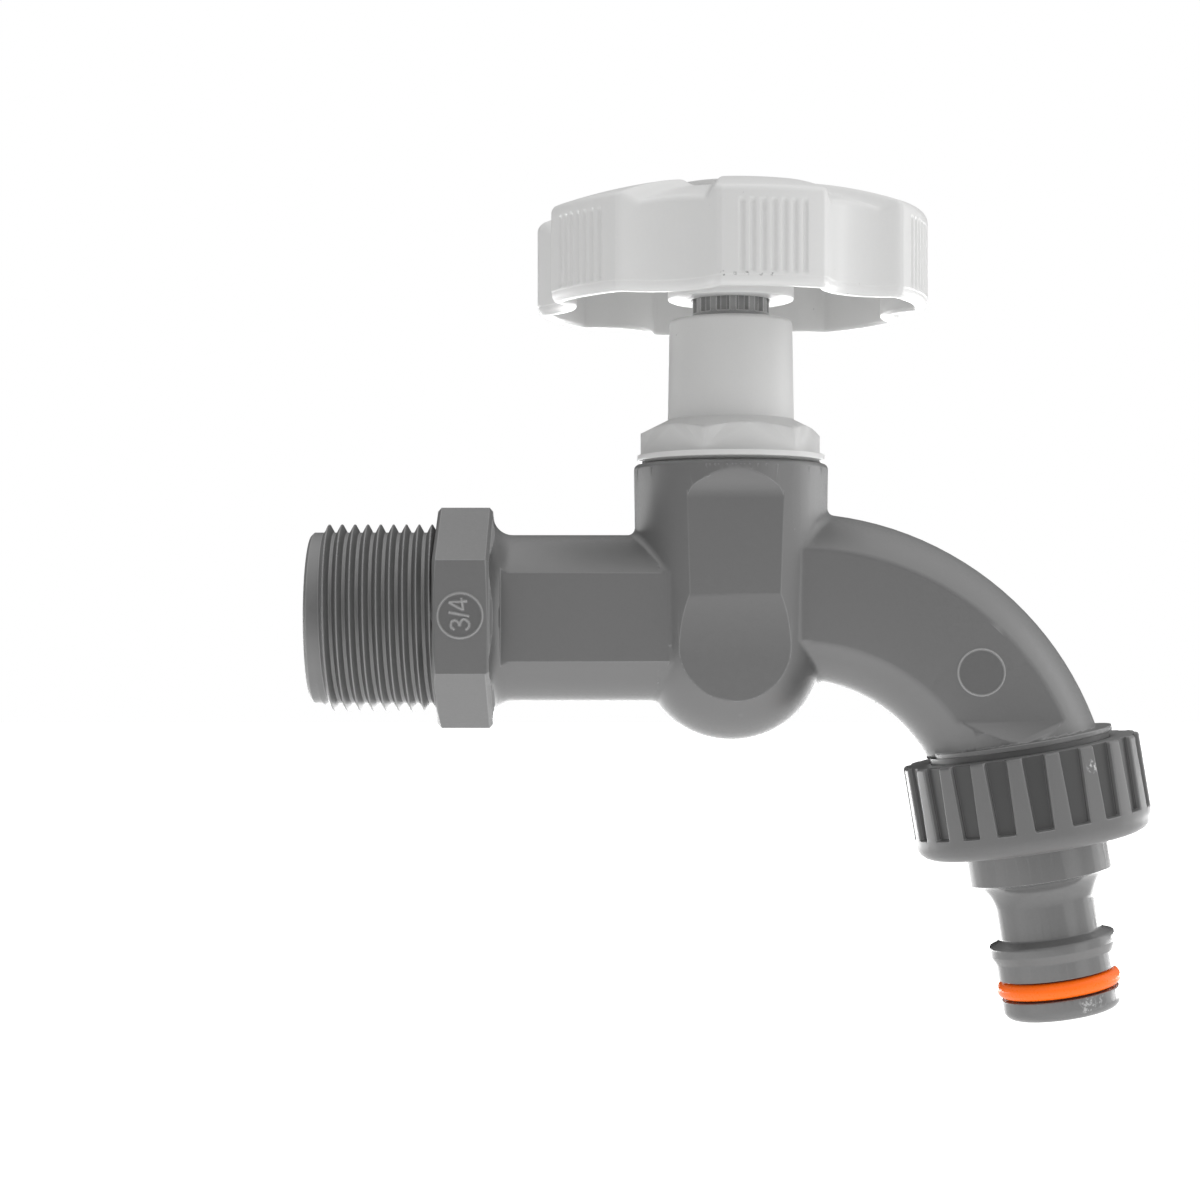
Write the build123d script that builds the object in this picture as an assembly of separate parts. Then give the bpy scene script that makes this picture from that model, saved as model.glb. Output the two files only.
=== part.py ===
from build123d import *
import os
from math import cos, pi, radians, sin, sqrt, tan

os.makedirs("parts", exist_ok=True)

# All sizes in mm. The origin is on the inlet thread's axis, at the wall-side face of
# the hexagon flange. X runs away from the wall, Z is up.

# Clearances shared by the fits.
slip = 0.05
thread_slack = 0.05
reach_past = 1.0

# Inlet: 3/4 pipe thread with a plain lead-in at its core diameter.
thread_radius = 26.44 / 2
thread_core_radius = 24.12 / 2
inlet_length = 17.7
lead_in_length = 1.7
inlet_bore_radius = 7.5
lead_in_chamfer = 0.4

# Hexagon flange, corners up and down.
flange_across_flats = 27.0
flange_width = 7.8
flange_edge = 0.5

# Barrel and spout share one round section with a flat on each side.
pipe_radius = 11.7
pipe_half_width = 10.0
barrel_flat_start = 9.2
barrel_blend = 1.2

# Valve chamber on a vertical axis.
valve_x = 41.4
chamber_top = 21.6
chamber_top_radius = 13.7
chamber_low_radius = 13.35
chamber_ball_z = -3.8
chamber_edge = 0.7
pipe_join_blend = 1.0
pipe_join_room = 0.5
pipe_join_far = 1.0

# Key-shaped panel on the chamber's front and back.
panel_upper_y = 11.94
panel_lower_y = 10.9
panel_arch_z = 17.3
panel_step_z = 3.28
panel_step_end_z = -1.3
runout_angle = 30.0
panel_reach = 20.0

# Waterway inside the chamber.
web_low = -1.5
web_high = 1.5
seat_hole_radius = 5.5
seat_lip_radius = 6.9
seat_top = 2.7
low_cavity_radius = 10.3
chamber_bore_radius = 9.8
bonnet_ledge_z = 12.0
bonnet_thread_radius = 11.2
inlet_bore_end = 29.6
port_radius = 4.4
port_z = 6.5
port_end = 58.0

# Spout: an arc of pipe, cut square to the outlet axis.
spout_centre_x = 50.25
spout_centre_z = -30.4
spout_bend_radius = 33.5
spout_bore_radius = 8.0
spout_bore_start = 10.8
spout_bore_end = 68.0
spout_arc_start = -6.0
spout_arc_end = 80.0
spout_flat_end_z = -14.2

# Outlet axis, tilted from straight down. Sizes along it count from the collar's middle.
outlet_x = 82.07
outlet_z = -17.4
outlet_tilt = 9.5
collar_radius = 13.1
collar_half = 0.35
stub_radius = 12.6
stub_end = 9.5
stub_bore_start = -2.5
stub_chamfer = 0.5

# Hose connector: ribbed nut and quick-connect nipple, with a flat washer in the nut.
washer_thickness = 2.5
washer_bore_radius = 8.5
nut_top = 1.2
nut_bottom = 14.6
nut_radius = 16.6
nut_low_round = 2.2
nut_top_round = 0.4
rib_gap_count = 20
rib_gap_first = -4.0
rib_gap_depth = 0.8
rib_gap_top_width = 3.1
rib_gap_low_width = 2.5
rib_gap_end = 11.3
nipple_bore_radius = 5.3
nipple_collar_radius = 10.2
nipple_collar_end = 19.1
nipple_sweep_end = 23.0
nipple_neck_radius = 7.1
ridge_start = 27.3
ridge_land_start = 28.3
ridge_land_end = 29.5
ridge_radius = 8.85
nipple_land_radius = 8.25
nipple_land_start = 30.7
ring_groove_start = 33.1
ring_groove_end = 35.9
ring_groove_radius = 6.4
ring_z = 34.5
ring_section_radius = 1.15
nipple_end = 39.3
nipple_tip_round = 1.4

# Bonnet.
bonnet_step_radius = 12.6
bonnet_step_z = 22.1
bonnet_flange_radius = 13.2
bonnet_flange_top = 22.9
bonnet_across_flats = 22.5
bonnet_hex_turn = 10.0
bonnet_cone_low_z = 25.8
bonnet_cone_low_radius = 13.1
bonnet_cone_top_z = 27.9
gland_low_radius = 8.9
gland_top_radius = 8.66
gland_top = 42.0
gland_edge = 0.6
bonnet_seal_thickness = 1.05
bonnet_seal_inner = 9.9

# Spindle, turning and rising in the bonnet.
valve_travel = 6.0
travel_margin = 0.6
spindle_radius = 5.4
spindle_thread_radius = 7.1
spindle_foot = 8.25
spindle_thread_top = 22.0
bonnet_bore_step = spindle_thread_top + valve_travel + travel_margin
spindle_collar_top = 42.9
spindle_top = 54.5
spline_count = 12
spline_depth = 0.65
spline_tip_share = 0.34
spline_root_share = 0.36
spline_slack_share = 0.04
seal_groove_radius = 3.9
seal_section_radius = 0.75
seal_groove_half = 0.9
seal_low_z = 30.5
seal_high_z = 34.2
spindle_edge = 0.4
wheel_screw_grip = 8.5
wheel_screw_low = spindle_top - wheel_screw_grip
screw_tip_room = 1.0
screw_hole_bottom = wheel_screw_low - screw_tip_room
jumper_hole_top = 17.0

# Valve plug with its washer, plate and screw.
washer_radius = 8.2
washer_top = 5.2
plug_radius = 8.5
plug_skirt_low = 3.9
plug_top = spindle_foot - slip
plug_room = 0.6
plug_stem_radius = 2.5
plug_stem_top = 16.5
plate_radius = 4.3
plate_thickness = 0.8
plug_screw_radius = 1.5
plug_screw_head_radius = 2.8
plug_screw_head = 1.4
plug_screw_depth = 6.0

# Handwheel: hollow moulding, six raised lobes round a hub.
lobe_count = 6
lobe_first = -81.3
lobe_radius = 27.7
lobe_half_angle = 16.3
ridge_half_angle = 18.3
lobe_depth = 3.7
valley_radius = lobe_radius - lobe_depth
wheel_wall = 1.9
wheel_rim_low = 43.1
wheel_corner = 1.4
inner_half_angle = 15.2
inner_corner = 0.8
valley_crown_radius = 62.5
lobe_crown_radius = 77.0
crown_skin = 2.2
ridge_inner_radius = 11.5
ridge_inner_half_angle = 20.0
ridge_overshoot = 4.3
ridge_outer_reach = lobe_radius + ridge_overshoot
wheel_edge_round = 0.8
soft_margin = 0.4
hub_radius = 8.9
hub_low = 44.8
hub_web = 2.1
wheel_well_radius = 6.6
screw_clear_radius = 2.1

# Handwheel screw and washer.
screw_washer_radius = 4.5
screw_washer_thickness = 0.8
wheel_screw_radius = 2.0
wheel_screw_head_radius = 3.6
wheel_screw_head = 1.7
screw_socket_radius = 1.5
screw_socket_depth = 1.0

# Cap over the screw, flush with the crown. The wheel's top follows the spindle's.
cap_clearance = 0.1
cap_seat_z = (
    spindle_top + hub_web + screw_washer_thickness + wheel_screw_head + cap_clearance
)
cap_radius = 8.8
cap_edge_height = 1.3
cap_edge_z = cap_seat_z + cap_edge_height
cap_dome_rise = 0.7
cap_dome_z = cap_edge_z + cap_dome_rise
cap_skirt_length = 1.6
cap_skirt_low = cap_seat_z - cap_skirt_length
cap_skirt_wall = 1.0
cap_recess = 1.1
valley_crown_z = cap_seat_z + cap_recess
ridge_rise = 0.8
lobe_crown_z = valley_crown_z + ridge_rise

upright = (Align.CENTER, Align.CENTER, Align.MIN)
big = 200.0


def turned(profile, rounds=()):
    outline = make_face(Polyline(*profile, close=True))
    for index, radius in rounds:
        corner = outline.vertices().sort_by_distance(Vector(*profile[index]))[0]
        outline = fillet(corner, radius)
    return revolve(Plane.XZ * outline, Axis.Z)


def on_valve(shape):
    return Pos(valve_x, 0, 0) * shape


def on_outlet(shape):
    tilt = radians(outlet_tilt)
    frame = Plane(
        origin=(outlet_x, 0, outlet_z),
        x_dir=(cos(tilt), 0, sin(tilt)),
        z_dir=(sin(tilt), 0, -cos(tilt)),
    )
    return frame.location * shape


def rod_along_x(radius, start, end):
    return Pos(start, 0, 0) * Rot(0, 90, 0) * Cylinder(radius, end - start, align=upright)


def side_prism(points, start, end):
    outline = make_face(Polyline(*points, close=True))
    return Pos(start, 0, 0) * extrude(Plane.YZ * outline, end - start)


def both_sides(shape):
    return [shape, mirror(shape, Plane.XZ)]


def inlet_shank():
    lead_in = rod_along_x(thread_core_radius, -inlet_length, 0)
    lead_in = chamfer(lead_in.edges().sort_by(Axis.X)[0], lead_in_chamfer)
    return lead_in + rod_along_x(thread_radius, lead_in_length - inlet_length, 0)


def hexagon_flange():
    hexagon = RegularPolygon(flange_across_flats / 2, 6, major_radius=False, rotation=30)
    block = extrude(Plane.YZ * hexagon, flange_width)
    rims = block.edges().group_by(Axis.X)
    return chamfer(rims[0] + rims[-1], flange_edge)


def barrel():
    pipe = rod_along_x(pipe_radius, 0, valve_x)
    low_y, far_y = pipe_half_width, panel_reach
    slab = [(-low_y, -big), (-low_y, big), (-far_y, big), (-far_y, -big)]
    for flat in both_sides(side_prism(slab, barrel_flat_start, valve_x)):
        pipe -= flat
    return pipe


def spout_arc(radius, start, end):
    # The arc's angles count from the top of the bend.
    centre = Location((spout_centre_x, 0, spout_centre_z), (0, 0, 0))
    section = Pos(0, 0, spout_bend_radius) * (Plane.YZ * Circle(radius))
    sweep_axis = Axis((0, 0, 0), (0, 1, 0))
    arc = revolve(section, sweep_axis, end - start)
    return centre * Rot(0, start, 0) * arc


def spout():
    pipe = spout_arc(pipe_radius, spout_arc_start, spout_arc_end)
    beyond = Cylinder(big, big, align=upright)
    pipe -= on_outlet(beyond)
    low_y, far_y = pipe_half_width, panel_reach
    runout = (far_y - low_y) / tan(radians(runout_angle))
    slab = [
        (-low_y, spout_flat_end_z),
        (-low_y, big),
        (-far_y, big),
        (-far_y, spout_flat_end_z - runout),
    ]
    for flat in both_sides(side_prism(slab, valve_x, outlet_x + pipe_radius * 2)):
        pipe -= flat
    return pipe


def chamber():
    ball_low = chamber_ball_z - chamber_low_radius
    shell = on_valve(
        turned(
            [
                (0, chamber_ball_z),
                (chamber_low_radius, chamber_ball_z),
                (chamber_top_radius, chamber_top),
                (0, chamber_top),
            ],
            [(2, chamber_edge)],
        )
    )
    ball = Pos(valve_x, 0, chamber_ball_z) * Sphere(chamber_low_radius)
    shell += ball
    arch_rise = (panel_reach - panel_upper_y) / tan(radians(runout_angle))
    panel = [
        (-panel_upper_y, panel_step_z),
        (-panel_upper_y, panel_arch_z),
        (-panel_reach, panel_arch_z + arch_rise),
        (-panel_reach, ball_low - reach_past),
        (-panel_lower_y, ball_low - reach_past),
        (-panel_lower_y, panel_step_end_z),
    ]
    half = chamber_top_radius
    for cut in both_sides(side_prism(panel, valve_x - half, valve_x + half)):
        shell -= cut
    return shell


def outlet_stub():
    top = -collar_half
    return on_outlet(
        turned(
            [
                (0, top),
                (collar_radius, top),
                (collar_radius, collar_half),
                (stub_radius, collar_half),
                (stub_radius, stub_end - stub_chamfer),
                (stub_radius - stub_chamfer, stub_end),
                (0, stub_end),
            ]
        )
    )


def waterway():
    inlet = rod_along_x(inlet_bore_radius, -inlet_length - reach_past, valve_x)
    above_web = Pos(inlet_bore_end, 0, web_low) * Box(
        big, big, big, align=(Align.MIN, Align.CENTER, Align.MIN)
    )
    cavity = Pos(valve_x, 0, chamber_ball_z) * Sphere(low_cavity_radius)
    low = (inlet + cavity) - above_web
    seat_and_chamber = on_valve(
        turned(
            [
                (0, web_low - reach_past),
                (seat_hole_radius, web_low - reach_past),
                (seat_hole_radius, seat_top),
                (seat_lip_radius, seat_top),
                (seat_lip_radius, web_high),
                (chamber_bore_radius, web_high),
                (chamber_bore_radius, bonnet_ledge_z),
                (bonnet_thread_radius, bonnet_ledge_z),
                (bonnet_thread_radius, chamber_top + reach_past),
                (0, chamber_top + reach_past),
            ]
        )
    )
    port = Pos(0, 0, port_z) * rod_along_x(port_radius, valve_x, port_end)
    bend = spout_arc(spout_bore_radius, spout_bore_start, spout_bore_end)
    stub_length = stub_end + reach_past - stub_bore_start
    stub = on_outlet(
        Pos(0, 0, stub_bore_start) * Cylinder(spout_bore_radius, stub_length, align=upright)
    )
    return [low, seat_and_chamber, port, bend, stub]


def pipe_join_edges(shell, side):
    # Edges where a pipe meets the chamber: side -1 is the barrel, side 1 the spout.
    flat_meets_chamber = sqrt(chamber_low_radius**2 - pipe_half_width**2)
    picked = []
    for edge in shell.edges():
        box = edge.bounding_box()
        near, far = sorted((side * (box.min.X - valve_x), side * (box.max.X - valve_x)))
        beside = near > flat_meets_chamber - pipe_join_room
        reached = far < chamber_top_radius + pipe_join_far
        if beside and reached and box.max.Z < panel_arch_z:
            picked.append(edge)
    return picked


def tap_body():
    neck = hexagon_flange() + barrel()
    corner = neck.edges().filter_by(GeomType.CIRCLE)
    corner = corner.filter_by_position(Axis.X, flange_width - slip, flange_width + slip)
    neck = fillet(corner, barrel_blend)
    shell = neck + chamber() + spout()
    for side in (-1, 1):
        shell = fillet(pipe_join_edges(shell, side), pipe_join_blend)
    body = inlet_shank() + shell + outlet_stub()
    for hollow in waterway():
        body -= hollow
    return body


def bonnet():
    shank_radius = bonnet_thread_radius - thread_slack
    shank_low = bonnet_ledge_z + bonnet_seal_thickness
    base = turned(
        [
            (0, shank_low),
            (shank_radius, shank_low),
            (shank_radius, chamber_top),
            (bonnet_step_radius, chamber_top),
            (bonnet_step_radius, bonnet_step_z),
            (bonnet_flange_radius, bonnet_step_z),
            (bonnet_flange_radius, bonnet_flange_top),
            (0, bonnet_flange_top),
        ]
    )
    hexagon = RegularPolygon(bonnet_across_flats / 2, 6, major_radius=False)
    hexagon = Rot(0, 0, bonnet_hex_turn) * hexagon
    hex_height = bonnet_cone_top_z - bonnet_flange_top
    block = Pos(0, 0, bonnet_flange_top) * extrude(hexagon, hex_height)
    cone = turned(
        [
            (0, bonnet_flange_top),
            (bonnet_cone_low_radius, bonnet_flange_top),
            (bonnet_cone_low_radius, bonnet_cone_low_z),
            (gland_low_radius, bonnet_cone_top_z),
            (0, bonnet_cone_top_z),
        ]
    )
    gland = turned(
        [
            (0, bonnet_flange_top),
            (gland_low_radius, bonnet_flange_top),
            (gland_low_radius, bonnet_cone_top_z),
            (gland_top_radius, gland_top),
            (0, gland_top),
        ],
        [(3, gland_edge)],
    )
    plug_ceiling = plug_top + valve_travel + travel_margin
    bore = turned(
        [
            (0, shank_low - reach_past),
            (plug_radius + plug_room, shank_low - reach_past),
            (plug_radius + plug_room, plug_ceiling),
            (spindle_thread_radius + thread_slack, plug_ceiling),
            (spindle_thread_radius + thread_slack, bonnet_bore_step),
            (spindle_radius + slip, bonnet_bore_step),
            (spindle_radius + slip, gland_top + reach_past),
            (0, gland_top + reach_past),
        ]
    )
    return on_valve(base + (block & cone) + gland - bore)


def bonnet_seal():
    low, high = bonnet_ledge_z, bonnet_ledge_z + bonnet_seal_thickness
    inner, outer = bonnet_seal_inner, bonnet_thread_radius - slip
    return on_valve(turned([(inner, low), (outer, low), (outer, high), (inner, high)]))


def spline_outline(radius, depth, tip_share, root_share):
    pitch = 2 * pi / spline_count
    flank = (1 - tip_share - root_share) / 2
    points = []
    for tooth in range(spline_count):
        middle = tooth * pitch
        for reach, share in (
            (radius - depth, -tip_share / 2 - flank),
            (radius, -tip_share / 2),
            (radius, tip_share / 2),
            (radius - depth, tip_share / 2 + flank),
        ):
            angle = middle + share * pitch
            points.append((reach * cos(angle), reach * sin(angle)))
    return make_face(Polyline(*points, close=True))


def spindle():
    groove_low = seal_low_z - seal_groove_half, seal_low_z + seal_groove_half
    groove_high = seal_high_z - seal_groove_half, seal_high_z + seal_groove_half
    shaft = turned(
        [
            (0, spindle_foot),
            (spindle_thread_radius, spindle_foot),
            (spindle_thread_radius, spindle_thread_top),
            (spindle_radius, spindle_thread_top),
            (spindle_radius, groove_low[0]),
            (seal_groove_radius, groove_low[0]),
            (seal_groove_radius, groove_low[1]),
            (spindle_radius, groove_low[1]),
            (spindle_radius, groove_high[0]),
            (seal_groove_radius, groove_high[0]),
            (seal_groove_radius, groove_high[1]),
            (spindle_radius, groove_high[1]),
            (spindle_radius, spindle_collar_top),
            (0, spindle_collar_top),
        ]
    )
    teeth = spline_outline(spindle_radius, spline_depth, spline_tip_share, spline_root_share)
    shaft += Pos(0, 0, spindle_collar_top) * extrude(teeth, spindle_top - spindle_collar_top)
    jumper_hole = Cylinder(
        plug_stem_radius + slip, jumper_hole_top - spindle_foot, align=upright
    )
    shaft -= Pos(0, 0, spindle_foot) * jumper_hole
    screw_hole = Cylinder(wheel_screw_radius, spindle_top - screw_hole_bottom, align=upright)
    shaft -= Pos(0, 0, screw_hole_bottom) * screw_hole
    return on_valve(shaft)


def spindle_seal(height):
    middle = seal_groove_radius + seal_section_radius
    return on_valve(Pos(0, 0, height) * Torus(middle, seal_section_radius))


def valve_plug():
    body = turned(
        [
            (0, washer_top),
            (washer_radius, washer_top),
            (washer_radius, plug_skirt_low),
            (plug_radius, plug_skirt_low),
            (plug_radius, plug_top),
            (plug_stem_radius, plug_top),
            (plug_stem_radius, plug_stem_top),
            (0, plug_stem_top),
        ]
    )
    screw_hole = Cylinder(plug_screw_radius, plug_screw_depth, align=upright)
    return on_valve(body - Pos(0, 0, washer_top) * screw_hole)


def valve_washer():
    hole = plug_screw_radius
    return on_valve(
        turned(
            [
                (hole, seat_top),
                (washer_radius - slip, seat_top),
                (washer_radius - slip, washer_top),
                (hole, washer_top),
            ]
        )
    )


def valve_washer_plate():
    low = seat_top - plate_thickness
    hole = plug_screw_radius
    return on_valve(
        turned([(hole, low), (plate_radius, low), (plate_radius, seat_top), (hole, seat_top)])
    )


def valve_washer_screw():
    head_top = seat_top - plate_thickness
    head_low = head_top - plug_screw_head
    tip = washer_top + plug_screw_depth - reach_past
    return on_valve(
        turned(
            [
                (0, head_low),
                (plug_screw_head_radius, head_low),
                (plug_screw_head_radius, head_top),
                (plug_screw_radius - slip / 2, head_top),
                (plug_screw_radius - slip / 2, tip),
                (0, tip),
            ]
        )
    )


def polar(radius, angle):
    turn = radians(angle)
    return radius * cos(turn), radius * sin(turn)


def wheel_outline(tip_radius, dip_radius, half_angle, corner):
    pitch = 360 / lobe_count
    edges = []
    for lobe in range(lobe_count):
        middle = lobe_first + lobe * pitch
        start = polar(tip_radius, middle - half_angle)
        tip = polar(tip_radius, middle)
        end = polar(tip_radius, middle + half_angle)
        valley = polar(dip_radius, middle + pitch / 2)
        onward = polar(tip_radius, middle + pitch - half_angle)
        edges.append(ThreePointArc(start, tip, end))
        edges.append(ThreePointArc(end, valley, onward))
    outline = make_face(edges)
    return fillet(outline.vertices(), corner)


def crown(top_z, curve_radius):
    # A shallow ball cap over a plain cylinder, its seam turned to the middle of a valley.
    seam_turn = Rot(0, 0, lobe_first + 180 / lobe_count)
    ball = Pos(0, 0, top_z - curve_radius) * seam_turn * Sphere(curve_radius)
    column = Pos(0, 0, wheel_rim_low) * Cylinder(
        ridge_outer_reach, top_z - wheel_rim_low, align=upright
    )
    return ball & column


def valley_height(reach):
    drop = valley_crown_radius - sqrt(valley_crown_radius**2 - reach**2)
    return valley_crown_z - drop


def lobe_wedge(middle):
    corners = [
        polar(ridge_inner_radius, middle - ridge_inner_half_angle),
        polar(ridge_outer_reach, middle - ridge_half_angle),
        polar(ridge_outer_reach, middle + ridge_half_angle),
        polar(ridge_inner_radius, middle + ridge_inner_half_angle),
    ]
    wedge = extrude(make_face(Polyline(*corners, close=True)), lobe_crown_z - wheel_rim_low)
    return Pos(0, 0, wheel_rim_low) * wedge


def wheel_soft_edges(wheel):
    # The ridges' top edges and the shoulder, without the upright inner corners.
    picked = []
    for edge in wheel.edges():
        box, middle = edge.bounding_box(), edge.center()
        reach = sqrt(middle.X**2 + middle.Y**2)
        on_shoulder = reach > valley_radius - soft_margin
        on_shoulder = on_shoulder and box.min.Z > valley_height(lobe_radius) - soft_margin
        stands_up = max(box.size.X, box.size.Y) < soft_margin
        on_ridge = lobe_radius > reach > ridge_inner_radius - soft_margin
        on_ridge = on_ridge and middle.Z > valley_height(reach) + soft_margin
        if on_shoulder or (on_ridge and not stands_up):
            picked.append(edge)
    return picked


def handwheel():
    outline = wheel_outline(lobe_radius, valley_radius, lobe_half_angle, wheel_corner)
    inner = wheel_outline(
        lobe_radius - wheel_wall,
        valley_radius - wheel_wall,
        inner_half_angle,
        inner_corner,
    )
    height = lobe_crown_z - wheel_rim_low
    blank = Pos(0, 0, wheel_rim_low) * extrude(outline, height)
    low_part = blank & crown(valley_crown_z, valley_crown_radius)
    raised = blank & crown(lobe_crown_z, lobe_crown_radius)
    wheel = low_part
    for lobe in range(lobe_count):
        wheel += raised & lobe_wedge(lobe_first + lobe * 360 / lobe_count)
    wheel = fillet(wheel_soft_edges(wheel), wheel_edge_round)
    hollow = Pos(0, 0, wheel_rim_low - reach_past) * extrude(inner, height)
    ceiling = Pos(0, 0, -crown_skin) * crown(valley_crown_z, valley_crown_radius)
    wheel -= hollow & ceiling
    hub_top = valley_crown_z - crown_skin
    wheel += Pos(0, 0, hub_low) * Cylinder(hub_radius, hub_top - hub_low, align=upright)
    socket = spline_outline(
        spindle_radius + slip,
        spline_depth,
        spline_tip_share + spline_slack_share,
        spline_root_share - spline_slack_share,
    )
    wheel -= Pos(0, 0, hub_low - reach_past) * extrude(
        socket, spindle_top + slip - hub_low + reach_past
    )
    well_low = spindle_top + hub_web
    wheel -= Pos(0, 0, spindle_top) * Cylinder(
        screw_clear_radius, lobe_crown_z - spindle_top, align=upright
    )
    wheel -= Pos(0, 0, well_low) * Cylinder(
        wheel_well_radius, lobe_crown_z - well_low, align=upright
    )
    wheel -= Pos(0, 0, cap_seat_z) * Cylinder(
        cap_radius + slip, lobe_crown_z - cap_seat_z, align=upright
    )
    return on_valve(wheel)


def handwheel_screw_washer():
    low = spindle_top + hub_web
    high = low + screw_washer_thickness
    inner, outer = screw_clear_radius, screw_washer_radius
    return on_valve(turned([(inner, low), (outer, low), (outer, high), (inner, high)]))


def handwheel_screw():
    head_low = spindle_top + hub_web + screw_washer_thickness
    head_top = head_low + wheel_screw_head
    shank = wheel_screw_radius - slip / 2
    screw = turned(
        [
            (0, wheel_screw_low),
            (shank, wheel_screw_low),
            (shank, head_low),
            (wheel_screw_head_radius, head_low),
            (wheel_screw_head_radius, head_top),
            (0, head_top),
        ],
        [(4, spindle_edge)],
    )
    socket = RegularPolygon(screw_socket_radius, 6)
    screw -= Pos(0, 0, head_top - screw_socket_depth) * extrude(socket, screw_socket_depth)
    return on_valve(screw)


def handwheel_cap():
    skirt_outer = wheel_well_radius - slip
    skirt_inner = skirt_outer - cap_skirt_wall
    blank = turned(
        [
            (0, cap_seat_z),
            (skirt_inner, cap_seat_z),
            (skirt_inner, cap_skirt_low),
            (skirt_outer, cap_skirt_low),
            (skirt_outer, cap_seat_z),
            (cap_radius, cap_seat_z),
            (cap_radius, cap_dome_z),
            (0, cap_dome_z),
        ]
    )
    rise = cap_dome_z - cap_edge_z
    dome_radius = (cap_radius**2 + rise**2) / (2 * rise)
    dome = Pos(0, 0, cap_dome_z - dome_radius) * Sphere(dome_radius)
    return on_valve(blank & dome)


def rib_gap(angle):
    half_top, half_low = rib_gap_top_width / 2, rib_gap_low_width / 2
    outline = make_face(
        Polyline(
            (-half_top, nut_top - reach_past),
            (half_top, nut_top - reach_past),
            (half_low, rib_gap_end),
            (-half_low, rib_gap_end),
            close=True,
        )
    )
    block = extrude(Plane.XZ * outline, -nut_radius)
    return Rot(0, 0, -angle) * Pos(0, nut_radius - rib_gap_depth, 0) * block


def hose_connector():
    nut_bore = stub_radius + thread_slack
    web_top = stub_end + washer_thickness
    sweep = nipple_sweep_end - nipple_collar_end
    inward = nipple_collar_radius - nipple_neck_radius
    sweep_radius = (inward**2 + sweep**2) / (2 * inward)
    shell = turned(
        [
            (nipple_bore_radius, web_top),
            (nut_bore, web_top),
            (nut_bore, nut_top),
            (nut_radius, nut_top),
            (nut_radius, nut_bottom),
            (nipple_collar_radius, nut_bottom),
            (nipple_collar_radius, nipple_sweep_end),
            (nipple_neck_radius, nipple_sweep_end),
            (nipple_neck_radius, ridge_start),
            (ridge_radius, ridge_land_start),
            (ridge_radius, ridge_land_end),
            (nipple_land_radius, nipple_land_start),
            (nipple_land_radius, ring_groove_start),
            (ring_groove_radius, ring_groove_start),
            (ring_groove_radius, ring_groove_end),
            (nipple_land_radius, ring_groove_end),
            (nipple_land_radius, nipple_end),
            (nipple_bore_radius, nipple_end),
        ],
        [(3, nut_top_round), (4, nut_low_round), (17, nipple_tip_round)],
    )
    shell -= Pos(0, 0, nipple_sweep_end) * Torus(
        nipple_neck_radius + sweep_radius, sweep_radius
    )
    pitch = 360 / rib_gap_count
    for gap in range(rib_gap_count):
        shell -= rib_gap(rib_gap_first + gap * pitch)
    return on_outlet(shell)


def connector_washer():
    high = stub_end + washer_thickness
    inner, outer = washer_bore_radius, stub_radius
    return on_outlet(
        turned([(inner, stub_end), (outer, stub_end), (outer, high), (inner, high)])
    )


def connector_oring():
    middle = ring_groove_radius + ring_section_radius
    return on_outlet(Pos(0, 0, ring_z) * Torus(middle, ring_section_radius))


pieces = {
    "tap_body": tap_body(),
    "bonnet": bonnet(),
    "bonnet_seal": bonnet_seal(),
    "spindle": spindle(),
    "spindle_oring_lower": spindle_seal(seal_low_z),
    "spindle_oring_upper": spindle_seal(seal_high_z),
    "valve_plug": valve_plug(),
    "valve_washer": valve_washer(),
    "valve_washer_plate": valve_washer_plate(),
    "valve_washer_screw": valve_washer_screw(),
    "handwheel": handwheel(),
    "handwheel_screw": handwheel_screw(),
    "handwheel_screw_washer": handwheel_screw_washer(),
    "handwheel_cap": handwheel_cap(),
    "hose_connector": hose_connector(),
    "connector_washer": connector_washer(),
    "connector_oring": connector_oring(),
}
for name, shape in pieces.items():
    export_step(shape, "parts/" + name + ".step")
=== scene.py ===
import math

import bmesh
import bpy
import numpy as np
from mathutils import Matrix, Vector


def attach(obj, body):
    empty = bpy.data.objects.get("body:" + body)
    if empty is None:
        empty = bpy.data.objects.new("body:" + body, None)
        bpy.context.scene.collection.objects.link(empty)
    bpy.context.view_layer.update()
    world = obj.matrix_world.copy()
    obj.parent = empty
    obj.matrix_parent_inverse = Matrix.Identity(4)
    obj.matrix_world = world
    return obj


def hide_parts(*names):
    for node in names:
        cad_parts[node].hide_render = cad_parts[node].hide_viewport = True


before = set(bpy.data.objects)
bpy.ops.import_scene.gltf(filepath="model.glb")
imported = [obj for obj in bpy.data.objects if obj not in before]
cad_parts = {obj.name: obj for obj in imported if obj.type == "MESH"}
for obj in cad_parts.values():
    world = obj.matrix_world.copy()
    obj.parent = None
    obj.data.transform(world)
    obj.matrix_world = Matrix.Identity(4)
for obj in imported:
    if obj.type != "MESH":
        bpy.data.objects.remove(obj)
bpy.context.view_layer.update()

mm = 0.001
wheelAxisX = 41.4  # the valve and wheel turn about this upright line, in mm
coarseWeld = 0.002 * mm  # points nearer to each other than this become one
fineWeld = 0.0005 * mm  # the same for closely divided shapes
flatAngle = 19  # faces of a moulding that meet at more degrees than this keep a crisp edge
print("frame loaded:", len(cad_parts), "nodes")


# Small tools shared by all the pieces

def newPiece(name, points, faces):
    mesh = bpy.data.meshes.new(name)
    mesh.from_pydata(np.asarray(points, float).tolist(), [], faces)
    mesh.update()
    piece = bpy.data.objects.new(name, mesh)
    bpy.context.scene.collection.objects.link(piece)
    return piece


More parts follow.
